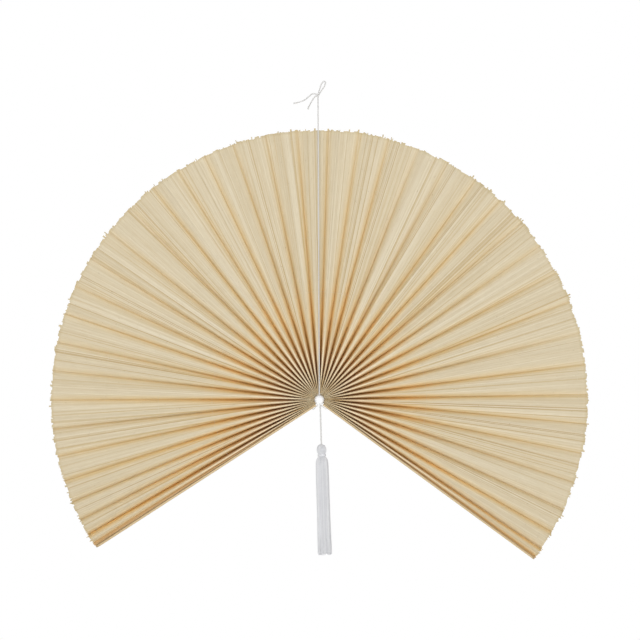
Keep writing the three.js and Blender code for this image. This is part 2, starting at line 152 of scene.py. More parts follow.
TASSEL_LEAN = math.radians(1.8)
TASSEL_CORD_LENGTH = 71 * MM
STOPPER_DIAMETER = 4.6 * MM
STOPPER_CORD = 1.4 * MM
HEAD_HEIGHT = 22 * MM
HEAD_DIAMETER = 17.7 * MM
HEAD_STRANDS = 40
HEAD_STRAND = 0.62 * MM
NECK_DIAMETER = 13 * MM
NECK_HEIGHT = 4.2 * MM
NECK_TURNS = 5
NECK_THREAD = 0.5 * MM
SKIRT_LENGTH = 183 * MM
SKIRT_COUNTS = (58, 52, 40)  # strands in each ring, from the outside in
SKIRT_STRAND = 0.60 * MM
SKIRT_CORE = 3.2 * MM  # from the outside of the strands in to the core
CORE_LENGTH = 0.955  # share of the skirt's
SHOULDER_RADIUS = 6.5 * MM
SHOULDER_SWELL, SKIRT_SWELL, HEM_SWELL = 5.0 * MM, 0.7 * MM, 1.0 * MM
SHOULDER_END, SWELL_END, HEM_START = 0.045, 0.2, 0.6  # shares of the way down
HEM_UNEVEN = 0.018  # share of the length
NOTCH_DEPTH = 0.02  # share of the length
NOTCH_ANGLE, NOTCH_WIDTH = -1.25, 0.09
SHORT_STRAND = 5 * MM  # how much shorter it is at most
SHORT_STRAND_SHARE = 0.12
SKIRT_SHARES = (0, 0.012, 0.03, 0.06, 0.12, 0.24, 0.38, 0.52, 0.66, 0.8, 0.92, 1)

# Smooth shading, up to these angles between faces
HARD_ANGLE = math.radians(40)
SLAT_ANGLE = math.radians(50)
YARN_ANGLE = math.radians(80)

chance = random.Random(11)
RIDGE_LEANS = [LEAN_WANDER * chance.uniform(-1, 1) for _ in range(PLEATS)]
RIDGE_SINKS = [RIDGE_SINK * chance.random() for _ in range(PLEATS)]
VALLEY_SHADES = [chance.uniform(*VALLEY_SHADE_STRENGTHS) for _ in range(PLEATS + 1)]

# Camera, level with the middle of the picture, in front of the fan
PICTURE_WIDTH = 1.1917  # across at the fan
CAMERA_DISTANCE = 5.0
CAMERA_OFFSET = 1.3 * MM  # to the right of the hub
CAMERA_RISE = 148 * MM  # above the hub
SENSOR = 36

# Floor and light
FLOOR_DROP = 0.72  # below the hub
FLOOR_BEHIND = 2.0  # behind the hub
FLOOR_MARGIN = 0.5  # past the camera
FLOOR_HALF_WIDTH = 5.0
FLOOR_GLOW = 0.5  # share of white that the floor shows by itself
SOFT_LIGHT = 0.26
LIGHT_AIM = 0.15  # above the hub
LIGHTS = {  # place from the hub, width and height, and power
    "key": ((-0.25, -3.6, 0.55), (1.8, 1.3), 81),
    "fill": ((0.9, -3.2, -0.1), (1.8, 1.6), 15),
    "back": ((0.4, 2.4, 1.9), (1.6, 1.2), 56),
}


def add_object(name, data):
    made = bpy.data.objects.new(name, data)
    bpy.context.scene.collection.objects.link(made)
    return made


def place_camera():
    data = bpy.data.cameras.new("camera")
    data.sensor_width = SENSOR
    data.lens = SENSOR * CAMERA_DISTANCE / PICTURE_WIDTH
    camera = add_object("camera", data)
    camera.location = (HUB[0] + CAMERA_OFFSET, HUB[1] - CAMERA_DISTANCE, HUB[2] + CAMERA_RISE)
    camera.rotation_euler = (math.pi / 2, 0, 0)
    bpy.context.scene.camera = camera


# Material helpers
WHITE = (1, 1, 1, 1)


class Nodes:
    """A short way to write the node tree of a material or a world."""

    def __init__(self, name, kind="materials"):
        self.owner = getattr(bpy.data, kind).new(name)
        self.owner.use_nodes = True
        self.tree = self.owner.node_tree
        self.shader = self.tree.nodes.get("Principled BSDF")

    def add(self, kind, settings=None, **inputs):
        node = self.tree.nodes.new(kind)
        for key, value in (settings or {}).items():
            setattr(node, key, value)
        for key, value in inputs.items():
            self.put(node, key.replace("_", " "), value)
        return node

    def put(self, node, key, value):
        socket = node.inputs[key]
        if isinstance(value, bpy.types.NodeSocket):
            self.tree.links.new(value, socket)
        else:
            socket.default_value = value

    def attribute(self, name, output="Fac"):
        return self.add("ShaderNodeAttribute", {"attribute_name": name}).outputs[output]

    def noise(self, vector, scale, detail):
        node = self.add("ShaderNodeTexNoise", Vector=vector, Scale=scale, Detail=detail)
        return node.outputs["Fac"]

    def grained(self, vector, scale, detail):
        """Noise with a scale of its own along each axis."""
        node = self.add("ShaderNodeMapping", Vector=vector, Scale=scale)
        return self.noise(node.outputs["Vector"], 1.0, detail)

    def ramp(self, value, *stops):
        node = self.add("ShaderNodeValToRGB", Fac=value)
        ramp = node.color_ramp
        while len(ramp.elements) < len(stops):
            ramp.elements.new(0.5)
        for element, (position, colour) in zip(ramp.elements, stops):
            element.position = position
            element.color = (*colour, 1)
        return node.outputs["Color"]

    def span(self, value, low, high, out_low=0.0, out_high=1.0):
        node = self.add("ShaderNodeMapRange", Value=value, From_Min=low, From_Max=high, To_Min=out_low,
                        To_Max=out_high)
        return node.outputs["Result"]

    def mix(self, factor, first, second, blend="MIX"):
        node = self.add("ShaderNodeMix", {"data_type": "RGBA", "blend_type": blend})
        for key, value in zip((0, 6, 7), (factor, first, second)):
            self.put(node, key, value)
        return node.outputs[2]

    def bump(self, height, strength, distance):
        node = self.add("ShaderNodeBump", Height=height, Strength=strength, Distance=distance)
        self.put(self.shader, "Normal", node.outputs["Normal"])

    def seen_ray(self):
        """1 for a ray that shows the background: straight from the camera, mirrored or through glass."""
        path = self.add("ShaderNodeLightPath")
        seen = path.outputs["Is Camera Ray"]
        for ray in ("Is Glossy Ray", "Is Transmission Ray"):
            either = self.add("ShaderNodeMath", {"operation": "MAXIMUM"})
            self.put(either, 0, seen)
            self.put(either, 1, path.outputs[ray])
            seen = either.outputs[0]
        return seen

    def surface(self, **inputs):
        for key, value in inputs.items():
            self.put(self.shader, key.replace("_", " "), value)
        return self.owner


def bamboo_slat_material():
    """Cream split bamboo with its own tone per slat, fibres, tan streaks and dark specks; orange-brown
    painted shade in the folds, painted light on the ridges at the hub.
    """
    m = Nodes("bamboo_slats")
    grain = m.attribute("grain", "Vector")
    names = ("tone", "fold", "line", "reach", "opened")
    tone, fold, line, reach, opened = [m.attribute(name) for name in names]
    base = m.ramp(tone, (0.0, (0.48, 0.34, 0.165)), (0.14, (0.58, 0.46, 0.275)),
                  (0.5, (0.66, 0.575, 0.412)), (1.0, (0.745, 0.675, 0.53)))
    base = m.mix(m.span(reach, 0.5, 0.95, 0, 0.35), base, (0.66, 0.575, 0.412, 1))
    fibres = m.grained(grain, (2600, 60, 800), 4.0)
    base = m.mix(1.0, base, m.ramp(fibres, (0.3, (0.88, 0.85, 0.79)), (0.7, (1.0, 1.0, 1.0))), "MULTIPLY")
    streaks = m.grained(grain, (900, 9, 300), 2.0)
    base = m.mix(m.span(streaks, 0.57, 0.75, 0, 0.5), base, (0.54, 0.38, 0.18, 1))
    specks = m.grained(grain, (1100, 130, 300), 1.0)
    base = m.mix(m.span(specks, 0.765, 0.80, 0, 0.75), base, (0.20, 0.115, 0.045, 1))
    # Warmer across the narrow pleats near the hub: painted shade of the deep folds
    base = m.mix(1.0, base, m.ramp(opened, (0.1, (1.0, 0.935, 0.82)), (0.4, (1.0, 1.0, 1.0))), "MULTIPLY")
    # Orange-brown down into each fold, darkest where the folds are deepest: painted shade
    folded = m.ramp(opened, (0.08, (0.22, 0.055, 0.004)), (0.13, (0.38, 0.12, 0.010)),
                    (0.17, (0.56, 0.24, 0.035)), (0.22, (0.70, 0.37, 0.08)),
                    (0.30, (0.87, 0.54, 0.17)), (0.45, (0.82, 0.60, 0.28)))
    base = m.mix(m.span(fold, 0.0, 1.0, 0, 0.96), base, folded)
    # Paler ridges at the hub: painted light that offsets the shade of the deep folds
    base = m.mix(m.span(fold, 0.0, -1.0, 0, 0.97), base, (1.0, 0.85, 0.61, 1))
    # A dark line on the last slat before each valley and where the mat meets a hem: painted shade
    base = m.mix(m.span(line, 0.0, 1.0, 0, 0.32), base, (0.44, 0.26, 0.085, 1))
    base = m.mix(m.span(reach, 0.988, 1.004, 0, 0.45), base, (0.46, 0.36, 0.16, 1))
    m.bump(fibres, 0.35, 0.3 * MM)
    rough = m.span(streaks, 0.3, 0.8, 0.48, 0.66)
    return m.surface(Base_Color=base, Roughness=rough, Specular_IOR_Level=m.span(fold, 0.0, 0.5, 0.22, 0.0))


def thread_material():
    """Fine undyed cotton thread."""
    m = Nodes("weaving_thread")
    place = m.add("ShaderNodeTexCoord").outputs["Object"]
    lay = m.noise(place, 2500.0, 2.0)
    base = m.ramp(lay, (0.3, (0.56, 0.48, 0.33)), (0.7, (0.74, 0.68, 0.53)))
    m.bump(lay, 0.4, 0.2 * MM)
    return m.surface(Base_Color=base, Roughness=0.9)


def lath_material():
    """Planed bamboo lath: long warm fibres, darker pores and paler edges from wear; dark orange-brown painted
    shade on the hems.
    """
    m = Nodes("bamboo_lath")
    grain = m.attribute("grain", "Vector")
    worn = m.attribute("worn")
    fibres = m.grained(grain, (950, 14, 950), 5.0)
    base = m.ramp(fibres, (0.25, (0.40, 0.26, 0.105)), (0.5, (0.49, 0.34, 0.16)), (0.75, (0.57, 0.42, 0.22)))
    pores = m.grained(grain, (2400, 75, 2400), 1.0)
    base = m.mix(m.span(pores, 0.68, 0.76, 0, 0.6), base, (0.24, 0.125, 0.04, 1))
    base = m.mix(m.span(worn, 0.2, 1.0, 0, 0.6), base, (0.61, 0.48, 0.29, 1))
    # Dark orange-brown on the hems: painted shade of the corner between the mat and a guard
    base = m.mix(m.span(worn, -0.2, -1.0, 0, 0.85), base, (0.46, 0.25, 0.07, 1))
    m.bump(fibres, 0.3, 0.4 * MM)
    return m.surface(Base_Color=base, Roughness=m.span(fibres, 0.3, 0.7, 0.55, 0.42), Specular_IOR_Level=0.4)


def bead_material():
    """Polished nickel with faint wear."""
    m = Nodes("polished_nickel")
    place = m.add("ShaderNodeTexCoord").outputs["Object"]
    wear = m.noise(place, 900.0, 4.0)
    base = m.ramp(wear, (0.35, (0.90, 0.905, 0.91)), (0.65, (0.96, 0.965, 0.97)))
    return m.surface(Base_Color=base, Metallic=0.2, Roughness=m.span(wear, 0.3, 0.7, 0.12, 0.22))


def cotton_material(name, dark, light):
    """Spun cotton: a soft matt yarn with fine fibres along it."""
    m = Nodes(name)
    grain = m.attribute("grain", "Vector")
    tone = m.attribute("tone")
    fibres = m.grained(grain, (3000, 500, 3000), 3.0)
    yarn = m.ramp(fibres, (0.25, dark), (0.75, light))
    base = m.mix(1.0, yarn, m.ramp(tone, (0.0, (0.86, 0.86, 0.87)), (1.0, (1.0, 1.0, 1.0))), "MULTIPLY")
    m.bump(fibres, 0.4, 0.2 * MM)
    return m.surface(Base_Color=base, Roughness=0.92, Specular_IOR_Level=0.15, Sheen_Weight=0.25,
                     Sheen_Roughness=0.5)


# Mesh helpers
def store(mesh, name, data):
    """Keeps a number or a vector for each point of a mesh, for its material to read."""
    kind, field = ("FLOAT_VECTOR", "vector") if data.ndim == 2 else ("FLOAT", "value")
    layer = mesh.attributes.new(name, kind, "POINT")
    layer.data.foreach_set(field, np.ascontiguousarray(data, dtype=np.float32).ravel())


class Build:
    """Collects points, faces and per-point values, then makes one mesh object from them."""

    def __init__(self):
        self.points = []
        self.faces = []
        self.slots = []
        self.values = {name: [] for name in ("grain", "tone", "fold", "reach", "opened", "line", "worn")}
        self.count = 0

    def strip(self, rings, slot=0, caps=True, **values):
        """Joins rings of points, shaped (stations, around, 3), into a closed tube."""
        index = self.count + np.arange(rings.size // 3).reshape(rings.shape[:2])
        self.count += index.size
        self.points.append(rings.reshape(-1, 3))
        turned = np.roll(index, -1, axis=1)
        quads = np.stack([index[:-1], turned[:-1], turned[1:], index[1:]], axis=-1).reshape(-1, 4)
        self.faces += quads.tolist()
        if caps:
            self.faces += [index[0][::-1].tolist(), index[-1].tolist()]
        self.slots += [slot] * (len(self.faces) - len(self.slots))
        for name, stored in self.values.items():
            shape = rings.shape if name == "grain" else index.shape
            value = np.broadcast_to(values.get(name, 0.0), shape)
            stored.append(value.reshape(index.size, *shape[2:]))

    def piece(self, name, *materials):
        mesh = bpy.data.meshes.new(name)
        mesh.from_pydata(np.concatenate(self.points).tolist(), [], self.faces)
        for material in materials:
            mesh.materials.append(material)
        mesh.polygons.foreach_set("material_index", self.slots)
        for key, stored in self.values.items():
            store(mesh, key, np.concatenate(stored))
        mesh.validate()
        mesh.update()
        return add_object(name, mesh)


def shade_smooth(piece, angle):
    piece.data.shade_smooth()
    piece.data.set_sharp_from_angle(angle=angle)


def unit(vectors):
    """The directions of vectors, each of length 1."""
    return vectors / np.linalg.norm(vectors, axis=-1, keepdims=True)


def run_lengths(path):
    """The distance along a path at each of its points."""
    return np.concatenate([[0], np.cumsum(np.linalg.norm(np.diff(path, axis=0), axis=1))])


def even_path(points, count):
    """Points evenly spaced along straight runs between the given points."""
    points = np.asarray(points, float)
    steps = run_lengths(points)
    even = np.linspace(0, steps[-1], count)
    return np.stack([np.interp(even, steps, points[:, k]) for k in range(3)], axis=1)


def smooth_path(points, count):
    """Points evenly spaced along a Catmull-Rom curve through the given points."""
    points = np.asarray(points, float)
    padded = np.vstack([2 * points[0] - points[1], points, 2 * points[-1] - points[-2]])
    fine = []
    for i in range(1, len(padded) - 2):
        p0, p1, p2, p3 = padded[i - 1:i + 3]
        for t in np.linspace(0, 1, 24, endpoint=False):
            fine.append(0.5 * (2 * p1 + (p2 - p0) * t + (2 * p0 - 5 * p1 + 4 * p2 - p3) * t ** 2
                               + (3 * p1 - p0 - 3 * p2 + p3) * t ** 3))
    fine.append(points[-1])
    return even_path(fine, count)


def moving_frames(path):
    """Two directions square to a path at each of its points, with no sudden twist."""
    tangents = unit(np.gradient(path, axis=0))
    side = np.cross(tangents[0], (0, 1, 0))
    if np.linalg.norm(side) < 0.1:
        side = np.cross(tangents[0], (1, 0, 0))
    sides = []
    for tangent in tangents:
        side = unit(side - tangent * side.dot(tangent))
        sides.append(side)
    sides = np.array(sides)
    return sides, np.cross(tangents, sides)


def tube_rings(path, radius, around):
    sides, ups = moving_frames(path)
    angles = np.arange(around) * 2 * math.pi / around
    radius = np.broadcast_to(radius, len(path))
    ring = np.cos(angles)[None, :, None] * sides[:, None] + np.sin(angles)[None, :, None] * ups[:, None]
    return path[:, None] + ring * radius[:, None, None]


def along_grain(rings, seed):
    """Grain coordinates for a tube: round it, along it and a seed of its own."""
    grain = np.zeros(rings.shape)
    grain[..., 0] = np.arange(rings.shape[1]) * 0.4 * MM + seed
    grain[..., 1] = run_lengths(rings.mean(axis=1))[:, None]
    grain[..., 2] = 0.37 * seed
    return grain


def twisted_cord(build, path, diameter, fray=0.0):
    """Lays strands round a path as spun cord; fray spreads them towards the last point."""
    sides, ups = moving_frames(path)
    run = run_lengths(path) / diameter
    strand_radius = STRAND_RADIUS * diameter
    lay_radius = diameter / 2 - strand_radius
    spread = 1 + fray * np.clip(1 - (run[-1] - run) / FRAY_LENGTH, 0, 1) ** 2
    core = tube_rings(path, CORE_RADIUS * diameter, 8)
    build.strip(core, grain=along_grain(core, 0.3), tone=0.8)
    for k in range(CORD_STRANDS):
        angle = 2 * math.pi * (run / CORD_TURN + k / CORD_STRANDS)
        offset = np.cos(angle)[:, None] * sides + np.sin(angle)[:, None] * ups
        strand = path + offset * (lay_radius * spread)[:, None]
        rings = tube_rings(strand, strand_radius, 6)
        build.strip(rings, grain=along_grain(rings, 0.013 * k), tone=chance.uniform(0.5, 1.0))


def about(radius, angle, z):
    """A place round the Z axis."""
    return radius * np.cos(angle), radius * np.sin(angle), z


def turned_rings(profile, around, centre=0):
    """Rings about Z through a centre, from points of radius and height."""
    angles = np.arange(around) * 2 * math.pi / around
    rings = [np.stack(about(radius, angles, np.full(around, height)), axis=1) for radius, height in profile]
    return np.array(rings) + centre


# Fold lines of the mat, worked out as in the part's source
def on_dial(radius, angle):
    return np.stack([radius * np.sin(angle), radius * np.cos(angle)], axis=-1)


def upright(flat):
    """A point across and up from the hub, as X, Y and Z."""
    return np.array([flat[0], 0, flat[1]])


def openness():
    """How far each pleat is opened at the rim, less beside the guards."""
    pleats = np.arange(PLEATS)
    from_guards = np.minimum(pleats / LEFT_END_REACH, (PLEATS - 1 - pleats) / RIGHT_END_REACH)
    return 1 - END_TIGHTENING * np.exp(-from_guards)


def rim_angles():
    shares = openness() * (1 + PITCH_WANDER * np.sin(WANDER_STEP * np.arange(PLEATS) + WANDER_START))
    runs = np.concatenate([[0], np.cumsum(shares)])
    return OPEN_FROM + (OPEN_TO - OPEN_FROM) * runs / runs[-1]


RIM_ANGLES = rim_angles()
RIM_POINTS = on_dial(FAN_RADIUS, RIM_ANGLES) + (0, RIM_RISE)
HUB_POINTS = on_dial(HUB_RADIUS, np.linspace(HUB_FROM, HUB_TO, PLEATS + 1))
RIDGE_ANGLES = (RIM_ANGLES[1:] + RIM_ANGLES[:-1]) / 2
RIM_PITCHES = np.linalg.norm(np.diff(RIM_POINTS, axis=0), axis=1)
PANEL_WIDTHS = np.hypot(RIM_PITCHES / 2 / openness(), RIM_FOLD_DEPTH)
WIDEST_HALF = RIM_PITCHES.max() / 2
MAT_DEPTH = PANEL_WIDTHS.max()
GUARD_WIDTH = MAT_DEPTH + 2 * GUARD_PROUD
HANG_Y = -(MAT_DEPTH / 2 + CORD_DIAMETER / 2 + CLEARANCE)
BEAD = HUB + (0, HANG_Y, 0)
KNOT = HUB + (KNOT_OFFSET, HANG_Y, FAN_RADIUS + KNOT_RISE)


def station_at(radius):
    """The share of the way from the hub ring to the rim."""
    return (radius - HUB_RADIUS) / (FAN_RADIUS - HUB_RADIUS)


def radius_at(station):
    return HUB_RADIUS + station * (FAN_RADIUS - HUB_RADIUS)


def valley(line, stations):
    """Points along a valley fold, across and up from the hub."""
    return HUB_POINTS[line] + (RIM_POINTS[line] - HUB_POINTS[line]) * stations[:, None]


def fold_depth(pleat, stations):
    pleat = min(max(pleat, 0), PLEATS - 1)
    half_pitch = np.linalg.norm(valley(pleat + 1, stations) - valley(pleat, stations), axis=1) / 2
    return np.sqrt(np.maximum(PANEL_WIDTHS[pleat] ** 2 - half_pitch ** 2, 0))


class Pleat:
    """The front surface of one pleat: places on it by station along and by share down a panel."""

    def __init__(self, pleat, stations):
        left, right = valley(pleat, stations), valley(pleat + 1, stations)
        self.across = unit(right - left)
        self.half = (np.linalg.norm(right - left, axis=1) - PLEAT_GAP) / 2
        self.opened = self.half / WIDEST_HALF
        loose = np.clip(2 * stations, 0, 1)
        shift = (RIDGE_LEAN + RIDGE_LEANS[pleat] * loose) * self.half
        self.ridge = (left + right) / 2 + self.across * shift[:, None]
        self.halves = (self.half + shift, self.half - shift)
        slack = 1 - np.interp(radius_at(stations), SLACK_RADII, FOLD_SLACK)
        before, depth, after = [slack * fold_depth(pleat + step, stations) for step in (-1, 0, 1)]
        self.ridge_y = -(1 - RIDGE_SINKS[pleat] * loose) * depth / 2
        self.feet_y = [(depth + beside) / 4 - VALLEY_RAISE for beside in (before, after)]
        self.arch = np.interp(self.opened * FAN_RADIUS, ARCH_RADII, ARCH_POWERS)
        self.steps = np.linspace(0, 1, ARCH_STEPS)
        self.runs = [self.run_along(side) for side in (0, 1)]

    def run_along(self, side):
        """The share of a panel's width that lies between the ridge and each step towards the valley."""
        across = self.halves[side][:, None] * self.steps
        down = (self.feet_y[side] - self.ridge_y)[:, None] * self.steps ** self.arch[:, None]
        run = np.cumsum(np.hypot(np.diff(across, axis=1), np.diff(down, axis=1)), axis=1)
        run = np.concatenate([np.zeros((len(run), 1)), run], axis=1)
        return run / run[:, -1:]

    def spread(self, side, share):
        """How far towards the valley, as a share of half the pleat, a share of the panel lies."""
        return np.array([np.interp(share, run, self.steps) for run in self.runs[side]])

    def at(self, side, share):
        """Offsets along the pleat's width and in depth, at a share of the panel from ridge to valley."""
        out = self.spread(side, share)
        y = self.ridge_y + (self.feet_y[side] - self.ridge_y) * out ** self.arch
        return (2 * side - 1) * self.halves[side] * out, y

    def place(self, offset, y):
        flat = self.ridge + self.across * offset[:, None]
        return HUB + np.stack([flat[:, 0], y, flat[:, 1]], axis=1)


def slat_edges():
    """Shares of the panel where one slat ends and the next begins."""
    widths = np.array([1 + SLAT_UNEVEN * (chance.random() - 0.5) for _ in range(SLATS)])
    return np.concatenate([[0], np.cumsum(widths)]) / widths.sum()


def slat_tone():
    kind = chance.random()
    if kind < DARK_SLATS:
        return chance.uniform(0.0, 0.3)
    if kind > 1 - PALE_SLATS:
        return chance.uniform(0.88, 1.0)
    return min(max(chance.gauss(0.58, 0.14), 0.2), 1.0)


def fold_shade_and_light(spread, opened, strength):
    """Painted shade in the folds as orange-brown, from 0 to 1, or painted light on the ridges at the hub, to
    -1.
    """
    start = np.interp(opened, (0.1, 0.3, 0.6, 1), (0.34, 0.2, 0.3, 0.4))
    power = np.interp(opened, (0.1, 0.3, 0.6, 1), (0.65, 1.1, 2, 3))
    most = np.interp(opened, (0.03, 0.045, 0.065, 0.25, 0.45, 0.75, 1), (0, 0.2, 1, 1, 0.8, 0.48, 0.2))
    most = most * np.interp(opened, (0.2, 0.45), (1, strength))
    # painted light on the ridges near the hub
    painted_ridge_light = np.interp(opened, (0.12, 0.24), (1, 0))
    pale = np.interp(opened, (0.035, 0.065), (2, 1)) * start
    tint = np.clip((spread - start) / (1 - start), 0, 1) ** power
    return most * tint - painted_ridge_light * np.clip(1 - spread / pale, 0, 1)


def inner_radius(pleat, side, share):
    """Where a slat ends at the hub, clear of the bead."""
    y = Pleat(pleat, np.zeros(1)).at(side, share)[1][0]
    room = (BEAD_DIAMETER / 2 + BEAD_ROOM) ** 2 - (y - SLAT_THICKNESS - HANG_Y) ** 2
    return max(INNER_RADIUS, math.sqrt(max(room, 0)))


def add_slat(build, pleat, side, low, high, number, ragged):
    """One split slat: a flat bar with eased edges, which follows its place on the panel."""
    wisp = LONG_SLAT * chance.random() if chance.random() < LONG_SLAT_SHARE else 0
    outer = FAN_RADIUS + ragged + SLAT_RAGGED * chance.uniform(-1, 1) + wisp
    inner = inner_radius(pleat, side, low) + HUB_RAGGED * chance.random()
    radii = inner + (outer - inner) * STATIONS
    surface = Pleat(pleat, station_at(radii))
    first = np.stack(surface.at(side, low), axis=1)
    second = np.stack(surface.at(side, high), axis=1)
    middle = (first + second) / 2
    run = second - first
    width = np.maximum(np.linalg.norm(run, axis=1), 1e-6)
    run = run / width[:, None]
    out = np.stack([run[:, 1], -run[:, 0]], axis=1) * (2 * side - 1)
    proud = chance.uniform(*SLAT_PROUD)
    bow = SLAT_BOW * np.sin(radii * chance.uniform(*BOW_WAVES) + chance.uniform(0, 6))
    room = np.clip(surface.half / FULL_PLAY, 0, 1)
    thick = np.minimum(SLAT_THICKNESS, NARROW_SLAT * surface.half)
    lift = (proud + bow) * room
    half_width = width / 2 * (1 + SLAT_LAP)
    rings = np.zeros((len(radii), len(SLAT_SECTION), 3))
    grain = np.zeros(rings.shape)
    for k, (along, back) in enumerate(SLAT_SECTION):
        spot = middle + run * (half_width * along)[:, None] + out * (lift + thick * back)[:, None]
        rings[:, k] = surface.place(spot[:, 0], spot[:, 1])
        grain[:, k, 0] = along * half_width + 0.011 * number
        grain[:, k, 1] = radii + 0.7 * (number % 7)
        grain[:, k, 2] = back * SLAT_THICKNESS + 0.003 * number
    if not side:
        rings = rings[:, ::-1]
        grain = grain[:, ::-1]
    spread = surface.spread(side, (low + high) / 2)
    strength = VALLEY_SHADES[pleat + side]
    # Painted shade: a dark line along the last slat of each valley, and on the slats where the mat meets a
    # hem
    line = strength * (side and high > 0.99) * np.interp(surface.opened, (0.6, 1), (1, 0.5))
    if (pleat, side) in HEMS:
        line = np.where(np.abs(spread - HEMS[pleat, side] ** (1 / surface.arch)) < HEM_SHADE_LINE, 1.0, 0.0)
    tint = fold_shade_and_light(spread, surface.opened, strength)
    build.strip(rings, grain=grain, tone=slat_tone(), fold=tint[:, None], reach=(radii / FAN_RADIUS)[:, None],
                opened=surface.opened[:, None], line=line[:, None])


def bar_rings(surface, side, edges, front, thickness):
    """A flat bar along a pleat, between two distances from its ridge."""
    rings = np.stack([surface.place((2 * side - 1) * edges[far], front + thickness * back)
                      for far, back in BAR_SECTION], axis=1)
    return rings if side else rings[:, ::-1]


def add_valley_slat(build, pleat, side, outward):
    """The slat behind one of a pleat's valleys, which closes the fold to what comes next."""
    radii = radius_at(STATIONS)
    surface = Pleat(pleat, STATIONS)
    front = surface.feet_y[side] + VALLEY_RAISE
    foot = surface.halves[side] + PLEAT_GAP / 2
    most = 0.9 * surface.half
    edges = [foot - np.minimum(VALLEY_SLAT_REACH, most), foot + np.minimum(outward, most)]
    rings = bar_rings(surface, side, edges, front, VALLEY_SLAT_THICKNESS)
    grain = np.zeros(rings.shape)
    grain[..., 0] = np.array([0, 1, 1, 0]) * (VALLEY_SLAT_REACH + outward) + 0.017 * pleat
    grain[..., 1] = radii[:, None]
    # A darker tone and the full fold colour: painted shade at the bottom of the valley
    tint = fold_shade_and_light(1.0, surface.opened, VALLEY_SHADES[pleat + side])
    build.strip(rings, grain=grain, tone=0.35, fold=tint[:, None], reach=(radii / FAN_RADIUS)[:, None],
                opened=surface.opened[:, None])


def add_hem(build, pleat, side):
    """A flat slat along the mat's end, between the last panel and the guard's inner face."""
    surface = Pleat(pleat, STATIONS)
    down = HEMS[pleat, side]
    y = surface.ridge_y + down * (surface.feet_y[side] - surface.ridge_y)
    inner = surface.halves[side] * down ** (1 / surface.arch)
    opened = (GUARD_WIDTH / 2 - y - HEM_THICKNESS) * np.tan((1 - side) * LEFT_GUARD_TWIST * STATIONS)
    outer = surface.halves[side] + PLEAT_GAP - HEM_ROOM + opened
    rings = bar_rings(surface, side, (inner, outer), y, HEM_THICKNESS)
    grain = np.zeros(rings.shape)
    grain[..., 0] = np.array([0, 1, 1, 0]) * (outer - inner)[:, None] + 0.023 * pleat
    grain[..., 1] = radius_at(STATIONS)[:, None]
    if not side:
        grain = grain[:, ::-1]
    # Painted shade: the hem is dark orange-brown, darker on its half towards the mat
    build.strip(rings, slot=2, grain=grain, worn=np.where(grain[..., 0] > grain[..., 0].mean(), -0.5, -1.0))


def add_lacing(build, pleat):
    """The lacing's run through one pleat, out of sight inside the fold."""
    station = np.array([station_at(LACING_RADIUS)])
    path = even_path([HUB + upright(valley(line, station)[0]) for line in (pleat, pleat + 1)], 4)
    rings = tube_rings(path, LACING_DIAMETER / 2, 8)
    build.strip(rings, slot=3, grain=along_grain(rings, 0.01 * pleat), tone=0.8)


def add_threads(build, pleat, edges):
    """Two threads in each row, which pass over and under the slats in turn."""
    outward = upright(on_dial(1.0, RIDGE_ANGLES[pleat]))
    shares = [(0, share) for share in edges[0][::-1]] + [(1, share) for share in edges[1][1:]]
    for radius in THREAD_RADII:
        surface = Pleat(pleat, np.array([station_at(radius)]))
        spots = np.array([np.stack(surface.at(side, share), axis=1)[0] for side, share in shares])
        run = unit(np.diff(spots, axis=0))
        out = np.stack([run[:, 1], -run[:, 0]], axis=1)
        for phase in (0, 1):
            over = (np.arange(len(run)) + phase) % 2 == 0
            lift = np.where(over, THREAD_RISE, -SLAT_THICKNESS - THREAD_RISE)
            line = np.zeros((2 * len(run) - 1, 2))
            line[::2] = (spots[1:] + spots[:-1]) / 2 + out * lift[:, None]
            line[1::2] = spots[1:-1] - (out[1:] + out[:-1]) / 4 * SLAT_THICKNESS
            path = surface.place(line[:, 0], line[:, 1]) + outward * (phase - 0.5) * THREAD_SPACING
            rings = tube_rings(path, THREAD_RADIUS, 5)
            build.strip(rings, slot=1, grain=along_grain(rings, 0.01 * pleat), tone=0.7)


def make_pleat(pleat, materials):
    build = Build()
    edges = [slat_edges(), slat_edges()]
    ragged = 0
    for side in (0, 1):
        for k in range(SLATS):
            number = (pleat * 2 + side) * SLATS + k
            if chance.random() < NEW_TUFT:
                ragged = RIM_RAGGED * chance.uniform(-1, 1)
            add_slat(build, pleat, side, edges[side][k], edges[side][k + 1], number, ragged)
    if pleat < PLEATS - 1:
        add_valley_slat(build, pleat, 1, VALLEY_SLAT_REACH)
    for side in (0, 1):
        if (pleat, side) in HEMS:
            add_hem(build, pleat, side)
            add_valley_slat(build, pleat, side, PLEAT_GAP / 2 - HEM_ROOM)
    add_lacing(build, pleat)
    add_threads(build, pleat, edges)
    name = f"pleat_{pleat + 1:02d}"
    piece = build.piece(f"{name}_slats", *materials)
    shade_smooth(piece, SLAT_ANGLE)
    body, joint = ("hub", "fan_fold") if pleat == MIDDLE else (f"{name}_panel", f"{name}_fold")
    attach(piece, body)
    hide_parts(name)
    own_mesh(piece)


